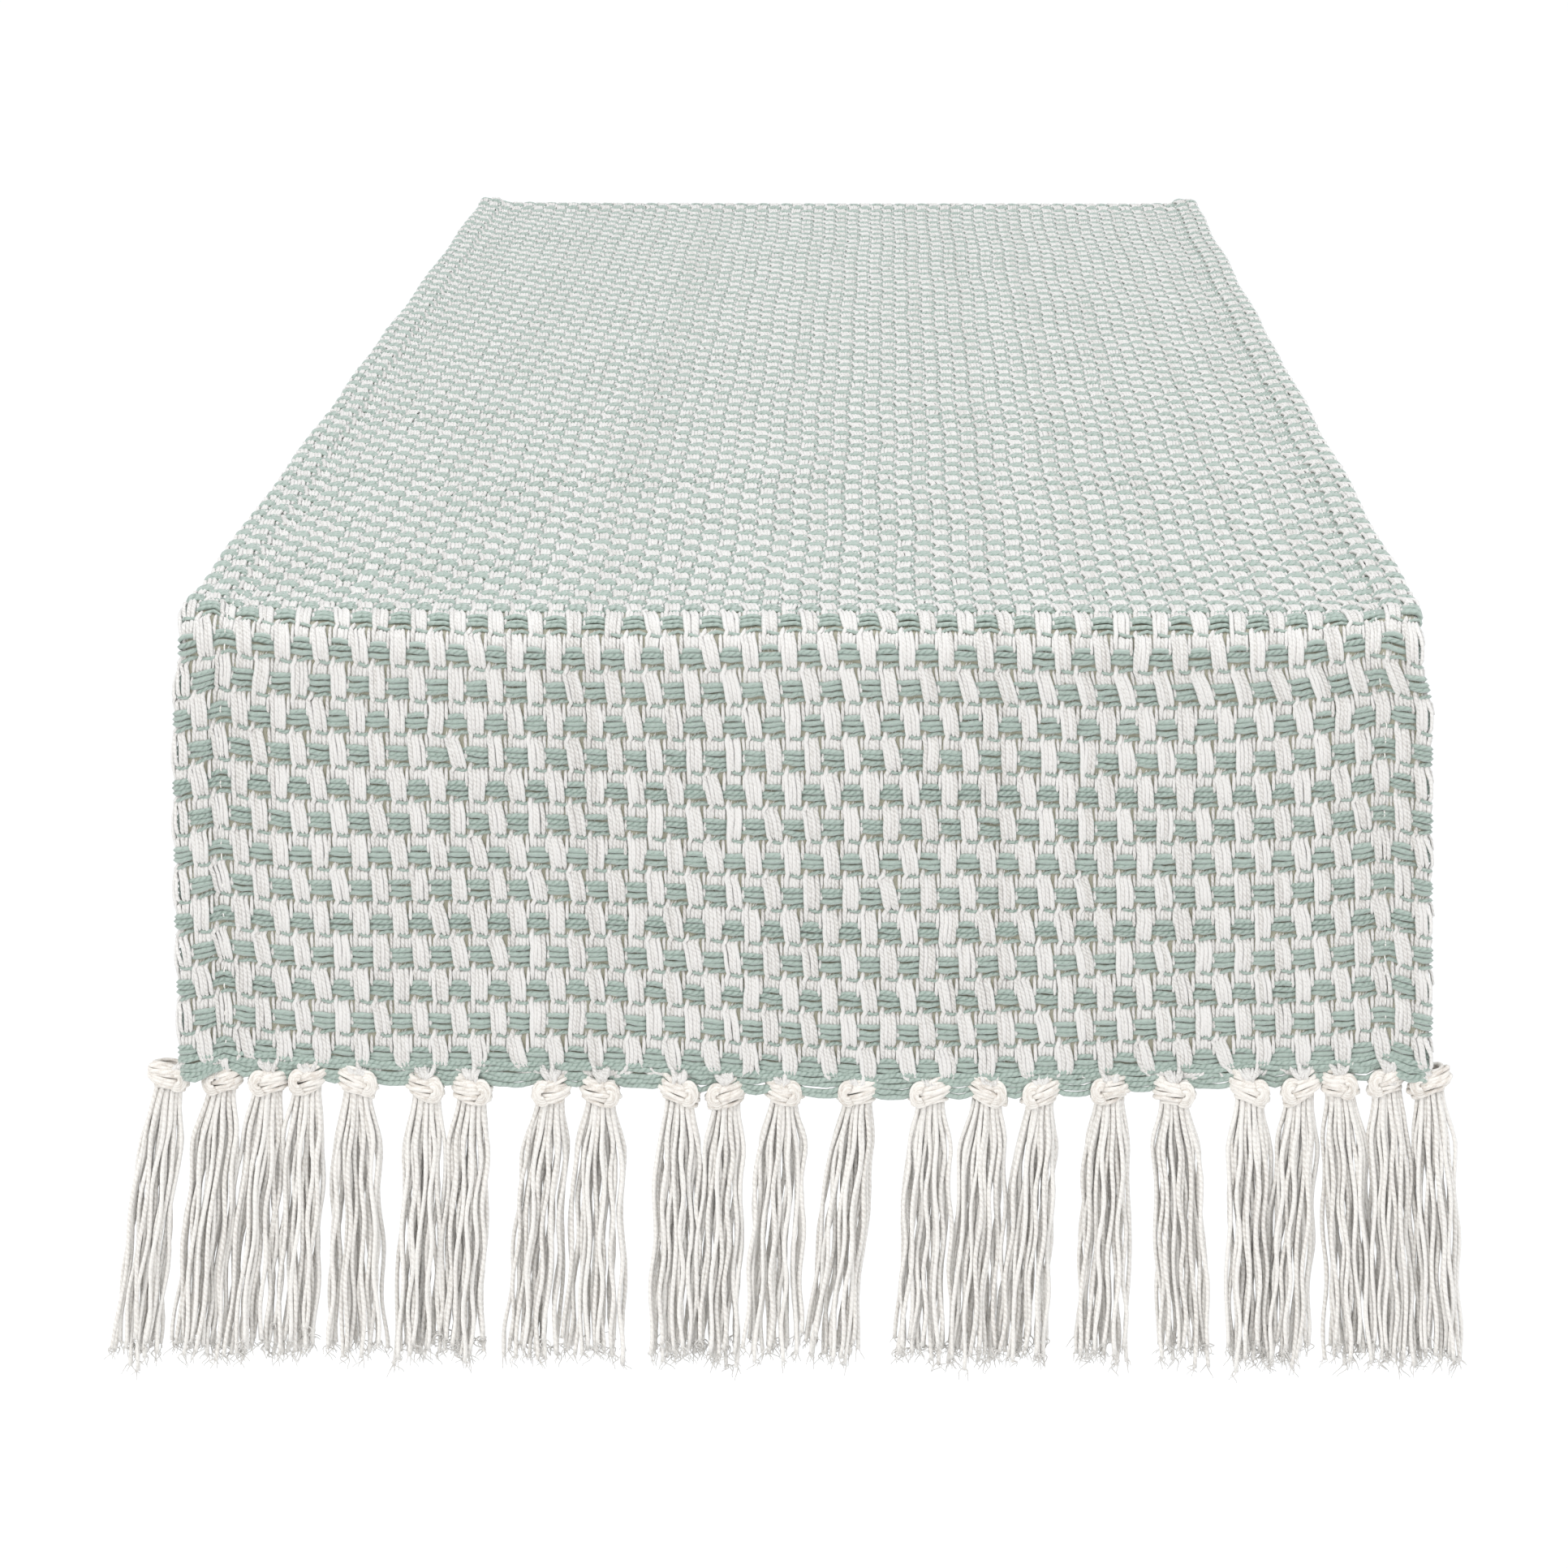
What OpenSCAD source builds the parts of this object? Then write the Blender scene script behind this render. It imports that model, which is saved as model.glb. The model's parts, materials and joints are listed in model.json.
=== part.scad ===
// Woven cotton table runner with side hems and a knotted fringe, draped over a table end to end.
// Origin: centre of the underside of the cloth, on the table top.
// +X runs across the runner, +Y along it, +Z up. The front end hangs at -Y and the rear end at +Y.

/* [Cloth] */
// Finished width of the runner, over both hems
runner_w = 350; // [300:10:420]
// Length that lies on the table top, from one table end to the other
top_l = 1110; // [600:10:1600]
// Woven length that hangs below the table top at each end
drop_h = 128; // [80:1:240]
// Thickness of the single cloth
cloth_t = 3; // [2:0.5:4]
// Radius of the table edge that the cloth bends over
edge_r = 8; // [3:0.5:9]

/* [Side hems] */
// Width of the folded side hem
hem_w = 13; // [9:1:20]
// Thickness of the folded side hem
hem_t = 5.5; // [4:0.5:7]
// Diameter of the thread that sews the hem
thread_d = 0.6; // [0.4:0.1:1]

/* [Knotted fringe] */
// Diameter of an overhand knot, seen along its axis
knot_d = 7; // [5:0.5:9]
// Length of an overhand knot, across the runner
knot_w = 9.6; // [8:0.2:10]
// Radius of the rounded ends of a knot
knot_round = 2.4; // [1:0.2:2.4]
// Width of the warp ends where they leave the cloth above a knot
neck_w = 6; // [4:0.5:7]
// Length of the loose yarns below a knot
tassel_l = 73; // [40:1:120]
// Width of a tassel just below its knot
tassel_neck_d = 8; // [6:0.5:8]
// Largest width of a tassel at its free end
tassel_end_d = 13; // [8:0.5:14]
// Room between a knot and its tassel, and between neighbouring tassels
tassel_gap = 0.4; // [0.3:0.1:1]

/* [Hidden] */
$fn = 64;

// Half of the opening left at each bend, as an angle about the bend's centre
bend_gap = 3;
// Distance between a sewing thread and the cloth that it lies on
thread_lift = 0.05;

cloth_w = runner_w - 2 * hem_w;
bend_y = -top_l / 2 + edge_r;
bend_z = -edge_r;
knot_z = -drop_h - knot_d / 2 - 0.5;
fringe_y = -top_l / 2 - cloth_t / 2;
far = 4 * (edge_r + hem_t);

// The warp ends are gathered by hand, so the knots are unevenly spaced: the steps from one to the next
knot_steps = [15, 13, 11, 14, 19, 13, 22, 14, 22, 13, 16, 21, 20, 16, 15, 19, 18, 21, 14, 11, 13, 12];
knots_span = sum_to(len(knot_steps));
knot_shift = -1.5;
tassels = [0 : len(knot_steps)];

function sum_to(n) = n == 0 ? 0 : knot_steps[n - 1] + sum_to(n - 1);
function knot_x(i) = sum_to(i) - knots_span / 2 + knot_shift;
function step_before(i) = i == 0 ? far : knot_steps[i - 1];
function step_after(i) = i == len(knot_steps) ? far : knot_steps[i];
function room(i) = min(step_before(i), step_after(i)) - tassel_gap;
function end_d(i) = min(tassel_end_d, room(i));
function two_digits(i) = i < 9 ? str("0", i + 1) : str(i + 1);
function tassel_name(end, i) = str(end, "_tassel_", two_digits(i));

// Slice of the bend over a table edge, between two angles about its centre, as a section across the bend
module bend_slice(t, from, to) {
    translate([bend_y, bend_z])
        intersection() {
            difference() {
                circle(r = edge_r + t);
                circle(r = edge_r);
            }
            polygon([[0, 0], far * [cos(from), sin(from)], far * [cos(to), sin(to)]]);
        }
}

// Section along the runner of what lies on the table: flat, with half of each bend at its ends
module top_section(t) {
    for (end = [0, 1])
        mirror([end, 0])
            bend_slice(t, 90, 135 - bend_gap);
    translate([bend_y, 0])
        square([-2 * bend_y, t]);
}

// Section along the runner of the hanging front length, with the other half of the bend at its top
module drop_section(t) {
    bend_slice(t, 135 + bend_gap, 180);
    translate([-top_l / 2 - t, -drop_h])
        square([t, drop_h - edge_r]);
}

// Makes a strip of a section, from x to x + w across the runner
module strip(x, w) {
    translate([x, 0, 0])
        rotate([90, 0, 90])
            linear_extrude(w)
                children();
}

// Puts what is made for the front end at the rear end
module at_rear() {
    rotate([0, 0, 180])
        children();
}

module top_cloth() {
    color([0.74, 0.82, 0.77])
        strip(-cloth_w / 2, cloth_w)
            top_section(cloth_t);
}

module top_hem(x) {
    color([0.80, 0.86, 0.82])
        strip(x, hem_w)
            top_section(hem_t);
}

module top_hem_stitching() {
    color([0.95, 0.94, 0.92])
        for (side = [-1, 1])
            translate([side * (cloth_w - thread_d) / 2, bend_y, cloth_t + thread_d / 2 + thread_lift])
                rotate([-90, 0, 0])
                    cylinder(d = thread_d, h = -2 * bend_y, $fn = 16);
}

module drop_cloth() {
    color([0.70, 0.80, 0.74])
        strip(-cloth_w / 2, cloth_w)
            drop_section(cloth_t);
}

module drop_hem(x) {
    color([0.80, 0.86, 0.82])
        strip(x, hem_w)
            drop_section(hem_t);
}

module drop_hem_stitching() {
    seam_y = -top_l / 2 - cloth_t - thread_d / 2 - thread_lift;
    color([0.95, 0.94, 0.92])
        for (side = [-1, 1])
            translate([side * (cloth_w - thread_d) / 2, seam_y, -drop_h])
                cylinder(d = thread_d, h = drop_h - edge_r, $fn = 16);
}

// Outline of half a knot, from its axis out, with rounded shoulders
module knot_half() {
    flat = knot_w / 2 - knot_round;
    core = knot_d / 2 - knot_round;
    translate([0, -knot_w / 2])
        square([core, knot_w]);
    translate([0, -flat])
        square([knot_d / 2, 2 * flat]);
    for (side = [-1, 1])
        intersection() {
            translate([core, side * flat])
                circle(r = knot_round);
            translate([core, -knot_w / 2])
                square([knot_round, knot_w]);
        }
}

// One overhand knot and the drawn-in warp ends between it and the cloth
module knot(i) {
    neck_x = max(-(runner_w - neck_w) / 2, min((runner_w - neck_w) / 2, knot_x(i)));
    translate([knot_x(i), fringe_y, knot_z])
        rotate([0, 90, 0])
            rotate_extrude()
                knot_half();
    translate([neck_x - neck_w / 2, fringe_y - cloth_t / 2, knot_z])
        cube([neck_w, cloth_t, -drop_h - knot_z]);
}

module knots() {
    color([0.93, 0.91, 0.87])
        for (i = tassels)
            knot(i);
}

// The loose yarns below one knot, spreading towards their free ends
module tassel(i) {
    color([0.95, 0.93, 0.90])
        translate([knot_x(i), fringe_y, knot_z - knot_d / 2 - tassel_gap - tassel_l])
            cylinder(d1 = end_d(i), d2 = min(tassel_neck_d, end_d(i)), h = tassel_l);
}

top_cloth();
top_hem(-runner_w / 2);  // top_hem_left
top_hem(cloth_w / 2);  // top_hem_right
top_hem_stitching();
drop_cloth();  // front_drop_cloth
drop_hem(-runner_w / 2);  // front_hem_left
drop_hem(cloth_w / 2);  // front_hem_right
drop_hem_stitching();  // front_hem_stitching
knots();  // front_knots
at_rear() drop_cloth();  // rear_drop_cloth
at_rear() drop_hem(cloth_w / 2);  // rear_hem_left
at_rear() drop_hem(-runner_w / 2);  // rear_hem_right
at_rear() drop_hem_stitching();  // rear_hem_stitching
at_rear() knots();  // rear_knots
for (i = tassels)
    tassel(i);
for (i = tassels)
    at_rear() tassel(i);
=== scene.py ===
"""Looks of the draped table runner: its woven cloth yarn by yarn, hems, seams, knots and tassels."""

import json
import math

import bpy
import numpy as np
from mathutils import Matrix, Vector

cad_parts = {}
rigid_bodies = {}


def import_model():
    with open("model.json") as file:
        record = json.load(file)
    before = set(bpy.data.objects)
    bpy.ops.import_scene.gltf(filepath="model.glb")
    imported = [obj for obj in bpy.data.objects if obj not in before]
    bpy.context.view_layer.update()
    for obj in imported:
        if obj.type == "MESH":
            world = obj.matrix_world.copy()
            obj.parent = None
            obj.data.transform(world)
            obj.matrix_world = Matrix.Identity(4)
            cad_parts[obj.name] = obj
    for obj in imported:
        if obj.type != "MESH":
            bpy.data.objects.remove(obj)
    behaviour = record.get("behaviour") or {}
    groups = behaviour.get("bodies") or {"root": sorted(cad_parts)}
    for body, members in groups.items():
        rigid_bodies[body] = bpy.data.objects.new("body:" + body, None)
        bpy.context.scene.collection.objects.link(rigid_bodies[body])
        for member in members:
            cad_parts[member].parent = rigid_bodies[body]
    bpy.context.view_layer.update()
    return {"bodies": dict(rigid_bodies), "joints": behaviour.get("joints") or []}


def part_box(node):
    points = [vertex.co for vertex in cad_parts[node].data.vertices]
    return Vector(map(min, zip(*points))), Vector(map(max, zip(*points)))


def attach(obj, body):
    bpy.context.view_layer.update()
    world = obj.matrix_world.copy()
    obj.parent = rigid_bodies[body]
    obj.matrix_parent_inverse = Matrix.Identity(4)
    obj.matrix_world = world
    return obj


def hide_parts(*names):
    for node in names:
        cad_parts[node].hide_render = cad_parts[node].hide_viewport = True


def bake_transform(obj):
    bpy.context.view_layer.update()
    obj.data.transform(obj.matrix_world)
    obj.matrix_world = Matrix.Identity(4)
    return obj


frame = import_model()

MM = 0.001


# ---------------------------------------------------------------- sizes, in millimetres, from the frame

def box_mm(node):
    low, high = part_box(node)
    return np.array(low) / MM, np.array(high) / MM


JOINTS = {j["name"]: np.array(j["pos_m"]) / MM for j in frame["joints"]}
TASSELS = sorted(n[len("front_tassel_"):] for n in frame["bodies"] if n.startswith("front_tassel_"))
ENDS = {"front": 1, "rear": -1}

CLOTH_T = box_mm("top_cloth")[1][2]
HEM_T = box_mm("top_hem_right")[1][2]
HALF_W = box_mm("top_hem_right")[1][0]
SEAM_X = box_mm("top_hem_right")[0][0]
DROP_H = -box_mm("front_drop_cloth")[0][2]
KNOT_Y = abs(JOINTS["front_tassel_%s_swing" % TASSELS[0]][1])
TABLE_Y = KNOT_Y - CLOTH_T / 2
TIP_Z = box_mm("front_tassel_" + TASSELS[0])[0][2]

# The drape: the bend is rounder in the middle, and the woven rows bow towards the sides
EDGE_R = 7.0  # inner radius of the bend at the sides
MID_EXTRA_R = 2.2  # what the middle adds to that
BOW = 2.6  # how much nearer the table's middle a row is at the sides
SEAM_RISE = 2.4  # how far the seams draw a row up
HEM_DROOP = 3.6  # how far a row drops again on the hems
FLARE = 1.6  # how far the hanging edge stands off
WIDEN_AT_EDGE = 0.013  # shares of the width
WIDEN_BELOW = 0.010
SHIFT = 0.9  # sideways, of the hanging cloth
BULGE = 1.5  # of the cloth just before the bend
MID_H = 1.5  # height of the cloth's mid-surface over the table

# The weave
ROWS = 140
BUNDLES = 68
BUNDLE_PITCH = 5.47
FLOAT_YARNS = 4  # in a bundle
YARN_STEP = 1.03
FLOAT_R = 0.67
TIE_R = 0.50
TIE_W = 2.2  # place of the tie yarn beside its bundle's middle
GROUP_PICKS = 3  # in a row's sage blocks
WEFT_R = 0.80
WEFT_STEP = 1.5
SINGLE_R = 0.60  # the lone pick after them
SINGLE_S = 3.85
SINGLE_SAG = 0.75
END_PICKS = 5  # packed together at the cloth's edge
END_PICK_STEP = 1.2
WARP_BLOCKS = 6  # pieces at each end
WEFT_SHARES = 3
CLOTH_SIDES = 4  # faces round a yarn
PLIES = 2  # twisted together in every yarn

# The hem: the cloth turns under at its edge and comes back as a second layer
HEM_TURN_R = (HEM_T - CLOTH_T) * 0.43
HEM_TURN_X = HALF_W - HEM_TURN_R - CLOTH_T / 2 + 0.3
HEM_SLOPE = 5.0
STITCH = 4.2
THREAD_R = 0.22

# The fringe
WRAP_STRANDS = 8
WRAP_STEP = 0.93
LOOP_STRANDS = 4
LOOP_R = 0.62
TASSEL_YARNS = 25
TASSEL_RINGS = 30
TASSEL_YARN_R = 0.72
TASSEL_TOP = 3.7  # half width just below the knot
HAIRS = 3  # at each yarn's end
HAIR_R = 0.2
# How far the free end of each front tassel hangs to one side of its knot
LEANS = [-12.5, -10, -8, -5, -3, -3, -4, -6, -2, -2, -5, -4, -7, -3, -4, -4, -2, 4, 1, -2, 5, 5, 5]

FLOOR_Z = -0.75  # metres
FLOOR_REACH = 30

rng = np.random.default_rng(7)


def smooth(t):
    t = np.clip(t, 0, 1)
    return t * t * (3 - 2 * t)


def middle(x):
    """1 on the runner's centre line, 0 at its sides."""
    return 1 - np.clip(np.abs(x) / HALF_W, 0, 1) ** 2


def widen(x, down, end):
    """The hanging cloth spreads a little once it is over the edge, and hangs slightly to one side."""
    over = smooth(down / 14)
    return x * (1 + WIDEN_AT_EDGE * over + WIDEN_BELOW * np.clip(down / DROP_H, 0, 1.1)) + end * SHIFT * over


def edge_length():
    """Length of cloth from the middle of the table to the hanging edge, on the centre line."""
    bend_r = EDGE_R + MID_EXTRA_R
    return TABLE_Y - bend_r + math.pi / 2 * (bend_r + CLOTH_T / 2) + DROP_H + MID_H - bend_r


LENGTH = edge_length()
ROW_PITCH = 2 * LENGTH / ROWS


# ---------------------------------------------------------------- from the flat cloth to the draped one

def turn_hem(w, n):
    """Flat position w across the cloth and height n off its mid-surface, to x, height over the table, and the way
    that the cloth's upper side faces, as its x and height parts."""
    side, a = np.sign(w), np.abs(w)
    lift = 2 * HEM_TURN_R * smooth((a - SEAM_X + 0.8) / HEM_SLOPE)
    base = CLOTH_T / 2 + lift
    phi = np.clip((a - HEM_TURN_X) / HEM_TURN_R, 0, math.pi)
    back = np.clip(a - HEM_TURN_X - math.pi * HEM_TURN_R, 0, None)
    r = HEM_TURN_R + n
    x = np.minimum(a, HEM_TURN_X) + r * np.sin(phi) - back
    h = np.where(phi > 0, base - HEM_TURN_R + r * np.cos(phi), base + n)
    return side * x, h, side * np.sin(phi), np.cos(phi)


def drape(w, s, n):
    """Flat position (w across, s along, n off the mid-surface) to a place on the draped runner, and the cloth's
    outward direction there. s runs from -LENGTH at the rear edge to LENGTH at the front edge."""
    w, s, n = np.broadcast_arrays(*(np.asarray(v, float) for v in (w, s, n)))
    x, h, nx, nh = turn_hem(w, n)
    q = np.abs(s)
    seam = SEAM_RISE * np.exp(-np.clip(SEAM_X - np.abs(w), 0, None) / 14)
    droop = HEM_DROOP * np.clip((np.abs(w) - SEAM_X) / (HALF_W - SEAM_X), 0, 1.6)
    q = q - (BOW * (1 - middle(x)) + seam - droop) * smooth(q / TABLE_Y) ** 2
    away = smooth(q / 60)  # 0 where the two halves meet, so that they meet on a straight line
    q = q + 0.8 * np.sin(x / 41 + q / 55 + 0.6) * away + 0.5 * np.sin(x / 23 - q / 37) * away
    inner = EDGE_R + MID_EXTRA_R * middle(x)
    start = TABLE_Y - inner
    along = inner + CLOTH_T / 2
    a = np.clip((q - start) / along, 0, math.pi / 2)
    down = np.clip(q - start - along * math.pi / 2, 0, None)
    r = inner + h
    y = np.minimum(q, start) + r * np.sin(a)
    z = -inner + r * np.cos(a) - down
    depth = np.clip(down / DROP_H, 0, 1)
    ripple = 1.1 * np.sin(x / 31 + 0.8 * np.sign(s)) + 0.6 * np.sin(x / 13 + 2)
    y = y + FLARE * depth + ripple * depth * (1 - 0.3 * depth)
    z = z + 0.3 * (1 + np.sin(x / 47 + q / 90)) * np.sin(q / 61) ** 2 * (q < start)
    z = z + BULGE * np.exp(-((q - start + 6) / 16) ** 2)
    end = np.where(s < 0, 1.0, -1.0)
    x = widen(x, down, -end) + 0.45 * np.sin(q / 29 + x / 50) * smooth(q / 60)
    place = np.stack([x, end * y, z], -1)
    out = np.stack([nx, end * nh * np.sin(a), nh * np.cos(a)], -1)
    return place, out


# ---------------------------------------------------------------- yarns as tubes

def unit(v):
    return v / np.maximum(np.linalg.norm(v, axis=-1, keepdims=True), 1e-9)


def tubes(centres, outs, radii, sides, tint):
    """Closed tubes, one for each row of centres (yarns, rings, 3). Returns places, faces and corner data."""
    count, rings = centres.shape[:2]
    radii = np.broadcast_to(np.asarray(radii, float), (count, rings))
    along = unit(np.gradient(centres, axis=1))
    side = unit(np.cross(along, outs))
    up = np.cross(side, along)
    step = np.linalg.norm(np.diff(centres, axis=1), axis=2)
    run = np.concatenate([np.zeros((count, 1)), np.cumsum(step, 1)], 1)
    angle = np.arange(sides) / sides * 2 * math.pi
    ring = np.cos(angle)[:, None] * up[:, :, None] + np.sin(angle)[:, None] * side[:, :, None]
    places = centres[:, :, None] + radii[:, :, None, None] * ring
    index = np.arange(count * rings * sides).reshape(count, rings, sides)
    nxt = np.roll(index, -1, 2)
    quads = np.stack([index[:, :-1], index[:, 1:], nxt[:, 1:], nxt[:, :-1]], -1).reshape(-1, 4)
    caps = np.concatenate([index[:, 0, :], index[:, -1, ::-1]])
    turn = np.broadcast_to(np.arange(sides) / sides, (count, rings - 1, sides))
    u = np.stack([turn, turn, turn + 1 / sides, turn + 1 / sides], -1)
    lo = np.broadcast_to(run[:, :-1, None], turn.shape)
    hi = np.broadcast_to(run[:, 1:, None], turn.shape)
    v = np.stack([lo, hi, hi, lo], -1)
    return {
        "places": places.reshape(-1, 3),
        "quads": quads,
        "caps": caps,
        "uv": np.stack([u, v], -1).reshape(-1, 2),
        "tint": np.repeat(np.broadcast_to(tint, count), rings * sides),
    }


def cloth_tubes(w, s, n, radii, sides, tint):
    """Tubes along centre lines given on the flat cloth."""
    place, out = drape(w, s, n)
    return tubes(place, out, radii, sides, tint)


def make_mesh(name, parts, material):
    """One smooth mesh object from several sets of tubes or faces, given in millimetres."""
    base = np.cumsum([0] + [len(p["places"]) for p in parts])
    places = np.concatenate([p["places"] for p in parts]) * MM
    quads = np.concatenate([p["quads"] + b for p, b in zip(parts, base)])
    caps = [c + b for p, b in zip(parts, base) for c in p["caps"]]
    uv = np.concatenate([p["uv"] for p in parts])
    loops = np.concatenate([quads.ravel()] + caps)
    starts = np.arange(len(quads)) * 4
    if caps:
        after = np.cumsum([0] + [len(c) for c in caps[:-1]])
        starts = np.concatenate([starts, 4 * len(quads) + after])
    mesh = bpy.data.meshes.new(name)
    mesh.vertices.add(len(places))
    mesh.vertices.foreach_set("co", places.astype(np.float32).ravel())
    mesh.loops.add(len(loops))
    mesh.loops.foreach_set("vertex_index", loops.astype(np.int32))
    mesh.polygons.add(len(starts))
    mesh.polygons.foreach_set("loop_start", starts.astype(np.int32))
    layer = mesh.uv_layers.new(name="Yarn")
    flat = np.zeros((len(loops), 2), np.float32)
    flat[: len(uv)] = uv
    layer.data.foreach_set("uv", flat.ravel())
    tint = mesh.attributes.new("tint", "FLOAT", "POINT")
    tint.data.foreach_set("value", np.concatenate([p["tint"] for p in parts]).astype(np.float32))
    mesh.update(calc_edges=True)
    mesh.validate(clean_customdata=False)
    mesh.polygons.foreach_set("use_smooth", np.ones(len(mesh.polygons), bool))
    obj = bpy.data.objects.new(name, mesh)
    bpy.context.scene.collection.objects.link(obj)
    mesh.materials.append(material)
    return obj


# ---------------------------------------------------------------- materials

def principled(name, colour, roughness, sheen):
    material = bpy.data.materials.new(name)
    material.use_nodes = True
    shader = material.node_tree.nodes["Principled BSDF"]
    shader.inputs["Base Color"].default_value = (*colour, 1)
    shader.inputs["Roughness"].default_value = roughness
    shader.inputs["Specular IOR Level"].default_value = 0.25
    shader.inputs["Sheen Weight"].default_value = sheen
    shader.inputs["Sheen Roughness"].default_value = 0.5
    return material, shader


def maths(tree, operation, a, b=None):
    """Output of a new math node fed with numbers or other nodes' outputs."""
    node = tree.nodes.new("ShaderNodeMath")
    node.operation = operation
    for socket, value in zip(node.inputs, (a, b)):
        if isinstance(value, (int, float)):
            socket.default_value = value
        elif value is not None:
            tree.links.new(value, socket)
    return node.outputs[0]


def noise(tree, place, scale, detail):
    node = tree.nodes.new("ShaderNodeTexNoise")
    node.inputs["Scale"].default_value = scale
    node.inputs["Detail"].default_value = detail
    tree.links.new(place, node.inputs["Vector"])
    return node.outputs[0]


def weighted(tree, shares):
    """Sum of node outputs, each times its share."""
    total = None
    for value, share in shares:
        part = maths(tree, "MULTIPLY", value, share)
        total = part if total is None else maths(tree, "ADD", total, part)
    return total


def yarn_material(name, light, dark, pitch=2.6, twist=0.5, groove_shade_share=0.3):
    """Plied cotton: helical twist and fibre bumps, with painted shade in the grooves between the plies, which leaves
    the plies lighter. The Yarn
    UVs run round a yarn in turns and along it in millimetres, and so does pitch."""
    material, shader = principled(name, light, 0.85, 0.6)
    tree = material.node_tree
    uv = tree.nodes.new("ShaderNodeUVMap")
    uv.uv_map = "Yarn"
    parts = tree.nodes.new("ShaderNodeSeparateXYZ")
    tree.links.new(uv.outputs[0], parts.inputs[0])
    across = maths(tree, "MULTIPLY", parts.outputs[0], 2 * math.pi * PLIES)
    along = maths(tree, "MULTIPLY", parts.outputs[1], 2 * math.pi * PLIES / pitch)
    wave = maths(tree, "SINE", maths(tree, "ADD", across, along))
    ply = maths(tree, "MULTIPLY_ADD", wave, 0.5)
    ply.node.inputs[2].default_value = 0.5

    place = tree.nodes.new("ShaderNodeTexCoord").outputs["Object"]
    fibre = noise(tree, place, 2600, 3)
    slub = noise(tree, place, 850, 2)
    patch = noise(tree, place, 24, 4)

    tint = tree.nodes.new("ShaderNodeAttribute")
    tint.attribute_name = "tint"
    # painted shade: the ply wave darkens the colour in the grooves between the plies, by the share given; the noises
    # and tint are the cotton's own uneven tone
    shares = [(ply, groove_shade_share), (fibre, 0.6), (tint.outputs["Fac"], 0.3), (slub, 0.5), (patch, 0.3)]
    mixed = weighted(tree, shares)
    ramp = tree.nodes.new("ShaderNodeValToRGB")
    ramp.color_ramp.elements[0].position = 0.50
    ramp.color_ramp.elements[1].position = 1.0
    ramp.color_ramp.elements[0].color = (*dark, 1)
    ramp.color_ramp.elements[1].color = (*light, 1)
    tree.links.new(mixed, ramp.inputs[0])
    tree.links.new(ramp.outputs[0], shader.inputs["Base Color"])

    height = weighted(tree, [(ply, 0.8), (fibre, 1.0), (slub, 1.6)])
    bump = tree.nodes.new("ShaderNodeBump")
    bump.inputs["Strength"].default_value = twist
    bump.inputs["Distance"].default_value = 0.25 * MM
    tree.links.new(height, bump.inputs["Height"])
    tree.links.new(bump.outputs[0], shader.inputs["Normal"])
    return material


def make_materials():
    looks = {
        "warp": ("warp_cotton", (0.78, 0.768, 0.752), (0.50, 0.478, 0.445), {"groove_shade_share": 0.25, "twist": 0.45}),
        "weft": ("sage_cotton", (0.39, 0.472, 0.43), (0.15, 0.215, 0.18), {"pitch": 3.4, "groove_shade_share": 0.45}),
        "fringe": ("fringe_cotton", (0.85, 0.83, 0.80), (0.62, 0.585, 0.54), {"pitch": 3.4, "twist": 0.7}),
        "knot": ("knot_cotton", (0.83, 0.80, 0.76), (0.54, 0.48, 0.42),
                 {"pitch": 7.0, "groove_shade_share": 0.2, "twist": 0.25}),
        "thread": ("sewing_thread", (0.86, 0.85, 0.82), (0.70, 0.67, 0.62), {"pitch": 1.0, "twist": 0.3}),
        # painted shade: the sheet under the yarns takes the dark olive of the shade in the gaps between them
        "shade_sheet": ("painted_gap_shade", (0.40, 0.39, 0.31), (0.22, 0.21, 0.15), {"twist": 0.1}),
    }
    return {use: yarn_material(name, light, dark, **rest) for use, (name, light, dark, rest) in looks.items()}


# ---------------------------------------------------------------- the weave

def wander(shape, size, reach=5):
    """Smooth random drift along the last axis."""
    noise = rng.normal(size=(shape[0], shape[1] + reach - 1))
    kernel = np.ones(reach) / reach
    drift = np.apply_along_axis(lambda row: np.convolve(row, kernel, "valid"), 1, noise)
    return size * drift * math.sqrt(reach) / 1.4


def bundle_w(k):
    """Place of bundle k across the flat cloth."""
    return (k + 0.5 - BUNDLES / 2) * BUNDLE_PITCH


def row_s(r):
    """Place of row r along the flat cloth."""
    return (r + 0.5 - ROWS / 2) * ROW_PITCH


def over(k, r):
    """True where bundle k floats over the picks of row r."""
    return (k + r) % 2 == 0


def sway(over_row, w):
    """How far the lone pick sags below its level: it hangs low after a float and is drawn up before the next."""
    low = SINGLE_SAG * np.sin((w + 0.9) / BUNDLE_PITCH * math.pi)
    return np.where(over_row, low, -low)


def ring_rows(places):
    """Row number and place in the row of each ring along a warp yarn, and a last ring that ends the last row."""
    rows = np.append(np.repeat(np.arange(ROWS), len(places)), ROWS - 1)
    return rows, np.append(np.tile(np.arange(len(places)), ROWS), len(places))


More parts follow.
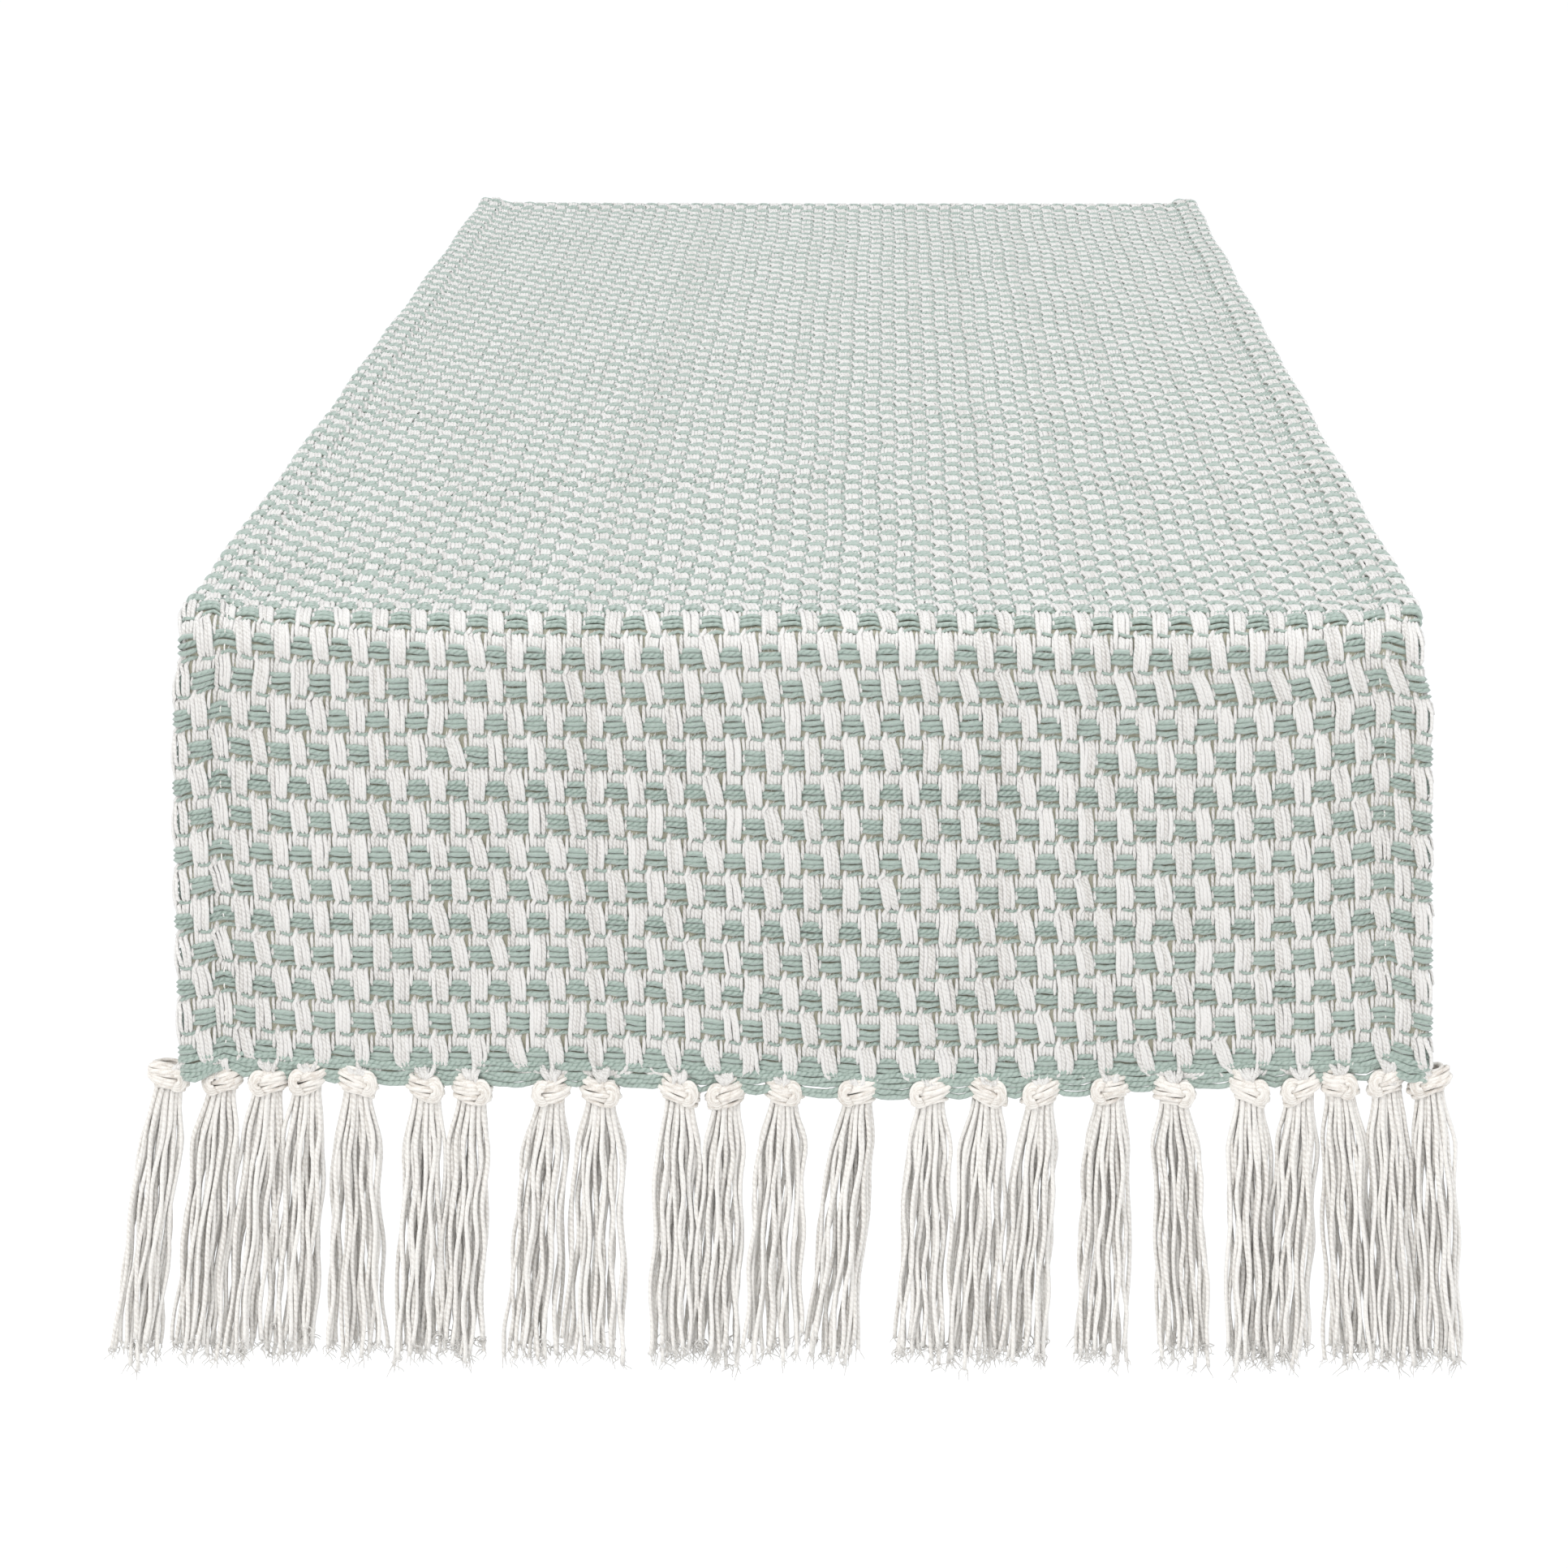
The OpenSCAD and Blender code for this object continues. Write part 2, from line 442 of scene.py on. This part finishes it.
def warp_yarns():
    """Centre lines (w, s, n) and radii of every warp yarn: bundles of float yarns, and a tie yarn beside each."""
    #        before the group's picks, on to them, over or under the middle one, off them, at the lone pick
    level = [-4.7, -2.1, 0.0, 2.2, SINGLE_S, 5.0]
    heights = {
        # (floats over this row, leftmost yarn)
        (True, False): [0.55, 0.98, 1.12, 0.92, -0.45, 0.45],
        (False, False): [0.45, -0.10, -0.90, -0.75, -0.45, 0.45],
        (True, True): [0.85, 1.00, 1.12, 1.02, 0.95, 0.65],
        (False, True): [0.62, -0.05, -0.90, -0.60, 0.72, 0.85],
    }
    rows, steps = ring_rows(level[:5])
    base = np.array(level)[steps]
    k = np.repeat(np.arange(BUNDLES), FLOAT_YARNS)[:, None]
    j = np.tile(np.arange(FLOAT_YARNS), BUNDLES)[:, None]
    now = over(k, rows[None])
    n = np.zeros(now.shape)
    for (floats, leftmost), values in heights.items():
        n = np.where((now == floats) & ((j == 0) == leftmost), np.array(values)[steps][None], n)
    n = n + wander(n.shape, 0.06)
    across = (j - (FLOAT_YARNS - 1) / 2) * YARN_STEP
    pinch = np.array([1.0, 1.02, 1.06, 1.0, 0.92, 0.96])[steps]
    tip = np.where(now & (steps == 0), -0.35, 0) + np.where(~now & (steps == 4), -0.45, 0)
    lean = rng.normal(0.07, 0.06, (BUNDLES, ROWS))[k, rows]
    w = bundle_w(k) - 0.45 + across * pinch + tip + lean * base * now + wander(n.shape, 0.14)
    along = base + np.where(steps == 4, sway(now, across), 0) + np.where(now & (steps == 3), 0.5, 0)
    s = row_s(rows)[None] + along + wander(n.shape, 0.2)
    radii = FLOAT_R * (1 + wander(n.shape, 0.08))
    floats = (w, s, n, radii)

    level = [-4.4, -1.5, 0.3, 2.3, SINGLE_S, 5.2]
    rows, steps = ring_rows(level[:5])
    k = np.arange(BUNDLES)[:, None]
    toothed = (rows % 2 == 1)[None] & (steps == 1)
    dotted = (rows % 2 == 0)[None] & (steps == 2) & ~over(k + 1, rows[None])
    n = np.array([0.50, -0.35, -0.75, -0.65, -0.35, 0.45])[steps][None] + np.zeros((BUNDLES, 1))
    n = np.where(toothed, 0.98, np.where(dotted, 0.85, n)) + wander(n.shape, 0.08)
    s = row_s(rows)[None] + np.array(level)[steps] + wander(n.shape, 0.25)
    w = bundle_w(k) + TIE_W + wander(n.shape, 0.14)
    ties = (w, s, n, TIE_R * (1 + wander(n.shape, 0.05)))
    return floats, ties


def round_edge(arrays):
    """Puts more rings in picks where they go round the hem's edge, so that they turn smoothly."""
    w = np.abs(arrays[0].mean(0))
    turning = (w > HEM_TURN_X - 3) & (w < HEM_TURN_X + math.pi * HEM_TURN_R + 4)
    spots = [0.0]
    for i in range(1, len(w)):
        extra = 4 if turning[i] or turning[i - 1] else 1
        spots += [i - 1 + (j + 1) / extra for j in range(extra)]
    low = np.minimum(np.floor(spots).astype(int), len(w) - 2)
    part = smooth(np.array(spots) - low)
    even = np.array(spots) - low
    w, s, n, radii = arrays
    between = [v[:, low] * (1 - f) + v[:, low + 1] * f for v, f in ((w, even), (s, even), (n, part), (radii, even))]
    return tuple(between)


def pick_rings():
    """Positions across the cloth of a pick's rings, as bundle numbers and places beside the bundle's middle."""
    places = np.array([-2.0, -0.4, 1.3])
    k = np.repeat(np.arange(BUNDLES), len(places))
    return k, np.tile(places, BUNDLES)


def group_picks():
    """The three weft yarns that make each row's sage blocks."""
    k, places = pick_rings()
    row = np.repeat(np.arange(ROWS), GROUP_PICKS)[:, None]
    pick = np.tile([-1, 0, 1], ROWS)[:, None]
    under = over(k[None], row)
    edge = np.abs(places + 0.4) > 1
    n = np.where(under, np.where(edge, -0.45, -0.62), np.where(edge, 0.52, 0.74))
    n = n + 0.08 * (pick == 0) + wander(n.shape, 0.09)
    bulge = np.where(under, 1.0, np.where(edge, 0.98, 1.08))
    slant = np.where(under, 0, rng.normal(0.0, 0.10, (ROWS, 1)).repeat(GROUP_PICKS, 0) * places)
    s = row_s(row) + pick * WEFT_STEP * bulge + slant + wander(n.shape, 0.22)
    w = bundle_w(k)[None] + places + np.zeros(n.shape)
    return w, s, n, WEFT_R * (1 + wander(n.shape, 0.07))


def single_picks():
    """The lone weft yarn after each row: under the left-hand yarn of every bundle and over the others."""
    k, places = pick_rings()
    row = np.arange(ROWS)[:, None]
    floats = over(k[None], row)
    n = np.where(places == places.min(), -0.30, 0.52) + wander(floats.shape, 0.08)
    s = row_s(row) + SINGLE_S + sway(floats, places[None]) + wander(n.shape, 0.2)
    w = bundle_w(k)[None] + places + np.zeros(n.shape)
    return w, s, n, SINGLE_R * (1 + wander(n.shape, 0.06))


def knot_centres(end):
    """Where each tassel's knot is, in the order of the tassels' numbers, in millimetres."""
    return np.array([JOINTS["%s_tassel_%s_swing" % (end, t)] for t in TASSELS])


def drawn_knots(end):
    """Middles of the knots as they are drawn: they keep to the cloth's edge, which widens, and is lower in the middle
    than at the sides."""
    knots = knot_centres(end)
    offset = np.zeros_like(knots)
    offset[:, 2] = 2.6 - 4.4 * middle(knots[:, 0]) + 0.7 * np.sin(knots[:, 0] * 0.9)
    offset[:, 1] = -ENDS[end] * 0.6
    knots = knots + offset
    knots[:, 0] = widen(knots[:, 0], DROP_H, ENDS[end])
    return knots


def end_picks(end):
    """The last picks, packed together: they sag between the knots and are drawn up at them."""
    x = np.linspace(-HALF_W + 1.0, HALF_W - 1.0, 180)
    knots = knot_centres(end)[:, 0]
    gap = np.abs(x[:, None] - knots[None]).min(1)
    sag = smooth((gap - 1.0) / 7)
    rows = []
    for i in range(END_PICKS):
        s = LENGTH - 2.5 + END_PICK_STEP * i + sag * (0.2 + 0.4 * i) + wander((1, x.size), 0.28)[0]
        n = 0.6 - 0.5 * (1 - sag) * (i > 1) + 0.3 * (-1) ** i * np.sin(x * 0.9 + i) + wander((1, x.size), 0.12)[0]
        rows.append((x, ENDS[end] * s, n))
    w, s, n = (np.array(v) for v in zip(*rows))
    return w, s, n, np.full(w.shape, WEFT_R * 1.02)


def gather(place, out, radii, end):
    """Draws the ends of warp yarns together into the knots: the near ones over the last picks, the others behind."""
    knots = drawn_knots(end)
    forward = np.array([0, -ENDS[end], 0])
    edge = place[:, -1]
    across = np.abs(edge[:, None, 0] - knots[None, :, 0])
    nearest = across.argmin(1)
    outermost = (nearest == 0) | (nearest == len(knots) - 1)
    near = across.min(1) < np.where(outermost, 8.0, 3.9)
    pull = np.clip(knots[nearest, 0] - edge[:, 0], -5, 5)
    place = place.copy()
    for back, share in ((3, 0.08), (2, 0.22), (1, 0.45)):
        place[:, -back, 0] += pull * share
    middle_y = drape(0, ENDS[end] * (LENGTH - 3), 0)[0][1]
    depth = (place[:, -1, 1] - middle_y) * -ENDS[end]
    place[:, -1] += forward * np.where(near, 1.75 - depth, -0.9 - depth)[:, None]
    place[:, -2] += forward * np.where(near, 0.5, 0.0)[:, None]
    last = place[:, -1]
    goal = knots[nearest] + rng.normal(0, 1, (len(last), 3)) * (1.1, 0.5, 0.4) + np.array([0, 0, 0.8])
    goal = goal + forward * np.where(near, 1.0, -0.8)[:, None]
    rings = [last + (goal - last) * np.array([t ** 0.8, t, t]) + forward * 1.4 * t * (1 - t) * near[:, None]
             for t in (0.25, 0.5, 0.75, 1.0)]
    place = np.concatenate([place] + [r[:, None] for r in rings], 1)
    out = np.concatenate([out] + [out[:, -1:]] * 4, 1)
    radii = np.concatenate([radii] + [radii[:, -1:] * f for f in (1.0, 0.95, 0.9, 0.85)], 1)
    return place, out, radii


def half(arrays, end):
    """The rings of full-length yarns on one end's side of the middle, running from the middle to the edge."""
    w, s, n, radii = arrays
    mid = np.abs(s.mean(0)).argmin()
    pick = slice(mid, None) if end == "front" else slice(mid, None, -1)
    s = s.copy()
    s[:, mid] = 0
    return w[:, pick], s[:, pick], n[:, pick], radii[:, pick]


def share_of(items, i, count):
    """The i-th of count runs that items are divided into."""
    return items[len(items) * i // count: len(items) * (i + 1) // count]


def warp_pieces(end, yarns, material):
    """Blocks of bundles side by side. yarns holds arrays, tints and yarns a bundle, for each kind."""
    pieces = []
    for block in range(WARP_BLOCKS):
        parts = []
        bundles = share_of(range(BUNDLES), block, WARP_BLOCKS)
        for arrays, tint, count in yarns:
            mine = slice(bundles[0] * count, (bundles[-1] + 1) * count)
            w, s, n, radii = (v[mine] for v in half(arrays, end))
            place, out = drape(w, s, n)
            place, out, radii = gather(place, out, radii, end)
            parts.append(tubes(place, out, radii, CLOTH_SIDES, tint[mine]))
        pieces.append(make_mesh("%s_warp_%d" % (end, block + 1), parts, material))
    return pieces


def weft_pieces(end, groups, group_tint, singles, material):
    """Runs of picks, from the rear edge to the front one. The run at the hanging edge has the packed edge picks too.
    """
    w, s, n, radii = groups
    single_w, single_s, single_n, single_r = singles
    rows = np.nonzero(ENDS[end] * s.mean(1) > 0)[0]
    level = ENDS[end] * single_s.mean(1)
    lone = np.nonzero((level > 0) & (level < LENGTH - 6))[0]
    edge_share = WEFT_SHARES - 1 if end == "front" else 0
    pieces = []
    for share in range(WEFT_SHARES):
        a, b = share_of(rows, share, WEFT_SHARES), share_of(lone, share, WEFT_SHARES)
        parts = [
            cloth_tubes(w[a], s[a], n[a], radii[a], CLOTH_SIDES, group_tint[a]),
            cloth_tubes(single_w[b], single_s[b], single_n[b], single_r[b], CLOTH_SIDES, rng.random(len(b)) * 0.5),
        ]
        if share == edge_share:
            packed = end_picks(end)
            parts.append(cloth_tubes(*packed, 6, rng.random(END_PICKS) * 0.6))
        pieces.append(make_mesh("%s_weft_%d" % (end, share + 1), parts, material))
    return pieces


def make_cloth(materials):
    """Every yarn of the cloth, as a list of pieces for each end."""
    floats, ties = warp_yarns()
    groups, singles = round_edge(group_picks()), round_edge(single_picks())
    yarns = [(floats, rng.random(BUNDLES * FLOAT_YARNS), FLOAT_YARNS), (ties, rng.random(BUNDLES), 1)]
    group_tint = rng.random(ROWS * GROUP_PICKS)
    return {end: warp_pieces(end, yarns, materials["warp"])
            + weft_pieces(end, groups, group_tint, singles, materials["weft"]) for end in ENDS}


def make_shade_sheet(end, material):
    """A sheet under the yarns that keeps the background from showing through, coloured with painted shade for the
    gaps between the yarns; returns it and its flat size.
    """
    reach = HEM_TURN_X + math.pi * HEM_TURN_R + (HEM_TURN_X - SEAM_X)
    w = np.linspace(-reach, reach, 130)
    s = ENDS[end] * np.linspace(0, LENGTH + 0.5, 240)
    grid_w, grid_s = np.meshgrid(w, s)
    place, _ = drape(grid_w, grid_s, 0 * grid_w)
    rows, cols = grid_w.shape
    index = np.arange(rows * cols).reshape(rows, cols)
    quads = np.stack([index[:-1, :-1], index[:-1, 1:], index[1:, 1:], index[1:, :-1]], -1).reshape(-1, 4)
    uv = np.stack([grid_w, grid_s], -1).reshape(-1, 2)[quads.ravel()]
    part = {"places": place.reshape(-1, 3), "quads": quads, "caps": [], "uv": uv, "tint": np.full(rows * cols, 0.4)}
    piece = make_mesh(end + "_shade_sheet", [part], material)
    return piece, (2 * reach, LENGTH + 0.5)


def make_seams(end, material):
    """Lockstitches along both hems: a thread that shows for a stitch and dips between them."""
    s = np.arange(0, LENGTH - 3, STITCH / 6)
    w = np.array([-1, 1])[:, None] * (SEAM_X - 0.4) + wander((2, s.size), 0.15)
    n = 0.5 + 0.95 * np.sin(2 * math.pi * s / STITCH)[None] + np.zeros(w.shape)
    part = cloth_tubes(w, ENDS[end] * s[None] + np.zeros(w.shape), n, THREAD_R, 5, [0.5, 0.7])
    return make_mesh(end + "_seam_thread", [part], material)


# ---------------------------------------------------------------- the fringe

def make_knots(end, material):
    """Overhand knots: strands wrapped slantwise round the gathered yarns, and a loop at one side."""
    centres = drawn_knots(end)
    parts = []
    turn = np.linspace(0, 2 * math.pi, 29)
    facing = [0, -ENDS[end], 0]
    for cx, cy, cz in centres:
        hand = rng.choice([-1, 1])
        tilt = hand * rng.uniform(0.2, 0.55)
        wide, deep = rng.uniform(4.9, 5.7), rng.uniform(3.3, 3.8)
        lines = []
        for strand in range(WRAP_STRANDS):
            level = (strand - (WRAP_STRANDS - 1) / 2) * WRAP_STEP
            bulge = math.sqrt(max(0.2, 1 - (level / 4.7) ** 2)) * rng.uniform(0.94, 1.06)
            x = wide * bulge * np.cos(turn) + rng.normal(0, 0.3)
            y = deep * bulge * np.sin(turn)
            z = level + math.tan(tilt) * x * 0.7 + 0.4 * np.sin(turn * 2 + rng.uniform(0, 6))
            lines.append(np.stack([cx + x, cy + y, cz + z], -1))
        lines = np.array(lines)
        outs = unit(lines - np.array([cx, cy, cz]))
        radii = 0.72 + 0.10 * np.sin(turn * 2 + np.arange(WRAP_STRANDS)[:, None])
        parts.append(tubes(lines, outs, radii, 6, rng.random(WRAP_STRANDS) * 0.8))
        loop = np.linspace(-2.2, 2.2, 15)
        for strand in range(LOOP_STRANDS):
            r = 1.2 + 0.8 * strand
            x = -hand * (wide - 2.8 + r * np.cos(loop) * 0.7)
            z = r * np.sin(loop) * 0.95 - 0.4
            y = np.full(loop.shape, -ENDS[end] * (deep + 0.45 - 0.35 * strand))
            line = np.stack([cx + x, cy + y, cz + z], -1)[None]
            parts.append(tubes(line, np.broadcast_to(facing, line.shape), LOOP_R, 6, [rng.random() * 0.8]))
    return make_mesh(end + "_knot_wraps", parts, material)


def frayed(ends):
    """Short curling fibres at yarns' ends."""
    u = np.linspace(0, 1, 7)
    start = np.repeat(ends, HAIRS, 0)
    spray = rng.normal(0, 1, (len(start), 1, 3)) * (1.3, 0.9, 0.6)
    curl = rng.normal(0, 0.7, (len(start), 1, 3)) * np.sin(u * math.pi * 1.5)[None, :, None]
    fall = rng.uniform(1.8, 4.5, (len(start), 1))
    hair = start[:, None] + spray * u[None, :, None] ** 0.8 + curl
    hair[:, :, 2] = start[:, None, 2] + 0.8 - fall * u[None]
    outs = np.broadcast_to([0.3, -1.0, 0.1], hair.shape)
    return tubes(hair, outs, HAIR_R * (1 - 0.6 * u)[None], 4, rng.random(len(start)))


def make_tassel(end, i, material):
    """Loose plied yarns below one knot, spreading and waving towards frayed ends."""
    name = "%s_tassel_%s" % (end, TASSELS[i])
    centres = drawn_knots(end)
    cx, cy, cz = centres[i]
    gap = np.abs(np.delete(centres[:, 0], i) - centres[i, 0]).min()
    t = np.linspace(0, 1, TASSEL_RINGS)
    one_each = (TASSEL_YARNS, 1)
    # yarns fill a round bundle, each at the golden angle, 2.4, from the last
    spot = np.sqrt((np.arange(TASSEL_YARNS) + 0.5) / TASSEL_YARNS)
    angle = np.arange(TASSEL_YARNS) * 2.4 + rng.uniform(0, 6)
    a, b = spot * np.cos(angle), spot * np.sin(angle)
    length = (cz - 3.0 - TIP_Z) + rng.normal(3.0, 2.2, TASSEL_YARNS)
    lean = ENDS[end] * LEANS[i] + rng.normal(0, 0.8)
    full = min(rng.uniform(6.8, 9.4), 0.5 * gap + 2.0)
    spread = TASSEL_TOP + (full - TASSEL_TOP) * (0.62 * smooth(t / 0.22) + 0.38 * t)
    phase = rng.uniform(0, 6.3, (3, *one_each))
    wave = 0.55 * np.sin(2 * math.pi * t * rng.uniform(1.6, 3.2, one_each) + phase[0]) * smooth(t * 4)
    sway = 0.5 * np.sin(2 * math.pi * t * rng.uniform(1.2, 2.6, one_each) + phase[1]) * smooth(t * 4)
    drift = rng.normal(0, 1.0, one_each) * t ** 2
    x = cx + a[:, None] * spread[None] + lean * t ** 0.85 + wave + drift
    y = cy + b[:, None] * (2.1 + 2.2 * smooth(t * 2)) + sway
    z = cz - 2.0 - length[:, None] * t
    line = np.stack([x, y, z], -1)
    outs = np.broadcast_to([0.3, -ENDS[end], 0.0], line.shape)
    radii = TASSEL_YARN_R * (1 - 0.10 * t) * (1 + 0.06 * rng.normal(size=(TASSEL_YARNS, TASSEL_RINGS)))
    parts = [tubes(line, outs, radii, 5, rng.random(TASSEL_YARNS)), frayed(line[:, -1])]
    piece = make_mesh(name + "_yarns", parts, material)
    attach(piece, name)
    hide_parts(name)
    return piece


# ---------------------------------------------------------------- putting it together

def bend_with(piece):
    """Bakes a piece's transform into its mesh."""
    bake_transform(piece)


def make_runner():
    """Every piece. The knots and tassels ride on their bodies, and the CAD nodes that the pieces stand for are
    hidden.
    """
    materials = make_materials()
    cloth = make_cloth(materials)
    for end in ENDS:
        # the sheet under the yarns, with painted shade for the gaps between them
        shade_sheet, flat = make_shade_sheet(end, materials["shade_sheet"])
        bend_with(shade_sheet)
        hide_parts("top_cloth", "top_hem_left", "top_hem_right")
        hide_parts(end + "_drop_cloth", end + "_hem_left", end + "_hem_right")
        for piece in cloth[end]:
            bend_with(piece)
        seam = make_seams(end, materials["thread"])
        bend_with(seam)
        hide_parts("top_hem_stitching", end + "_hem_stitching")
        knots = make_knots(end, materials["knot"])
        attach(knots, end + "_drop")
        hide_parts(end + "_knots")
        fringe = [make_tassel(end, i, materials["fringe"]) for i in range(len(TASSELS))]


# ---------------------------------------------------------------- stage

def make_floor(scene):
    mesh = bpy.data.meshes.new("floor")
    reach = FLOOR_REACH
    corners = [(-reach, -reach, FLOOR_Z), (reach, -reach, FLOOR_Z), (reach, reach, FLOOR_Z), (-reach, reach, FLOOR_Z)]
    mesh.from_pydata(corners, [], [(0, 1, 2, 3)])
    floor = bpy.data.objects.new("floor", mesh)
    scene.collection.objects.link(floor)
    mesh.materials.append(principled("floor_white", (0.90, 0.90, 0.90), 0.9, 0.0)[0])


def make_lamp(name, kind, place, aim, power, colour):
    data = bpy.data.lights.new(name, kind)
    data.energy = power
    data.color = colour
    obj = bpy.data.objects.new(name, data)
    obj.location = place
    bpy.context.scene.collection.objects.link(obj)
    way = np.array(aim, float) - np.array(place, float)
    yaw = math.atan2(way[1], way[0])
    pitch = math.atan2(math.hypot(way[0], way[1]), -way[2])
    obj.rotation_euler = (pitch, 0, yaw - math.pi / 2)
    return data


def make_stage():
    """A pale floor under plain soft light: bright surroundings, a cool overhead light and two warm lamps in front."""
    scene = bpy.context.scene
    scene.view_settings.view_transform = "Standard"
    make_floor(scene)
    world = bpy.data.worlds.new("studio")
    scene.world = world
    world.use_nodes = True
    background = world.node_tree.nodes["Background"]
    background.inputs["Color"].default_value = (1, 0.99, 0.98, 1)
    background.inputs["Strength"].default_value = 0.80

    overhead = make_lamp("overhead", "SUN", (0, -0.4, 3), (0, 0, 0), 1.27, (0.875, 0.94, 1.0))
    overhead.angle = math.radians(70)
    key = make_lamp("key", "AREA", (-1.6, -2.6, 1.9), (0, -0.4, -0.1), 26, (1.0, 0.96, 0.91))
    key.shape, key.size = "DISK", 1.2
    fill = make_lamp("fill", "AREA", (2.2, -2.2, 1.0), (0, -0.4, -0.1), 9, (1.0, 0.97, 0.93))
    fill.shape, fill.size = "DISK", 1.6


def make_camera():
    data = bpy.data.cameras.new("camera")
    data.sensor_width = 36
    data.lens = 118.8
    camera = bpy.data.objects.new("camera", data)
    camera.location = (0.0236, -1.983, 0.2698)
    camera.rotation_euler = (math.radians(90 - 12.4), 0, math.radians(1.13))
    bpy.context.scene.collection.objects.link(camera)
    bpy.context.scene.camera = camera


make_camera()
make_stage()
make_runner()
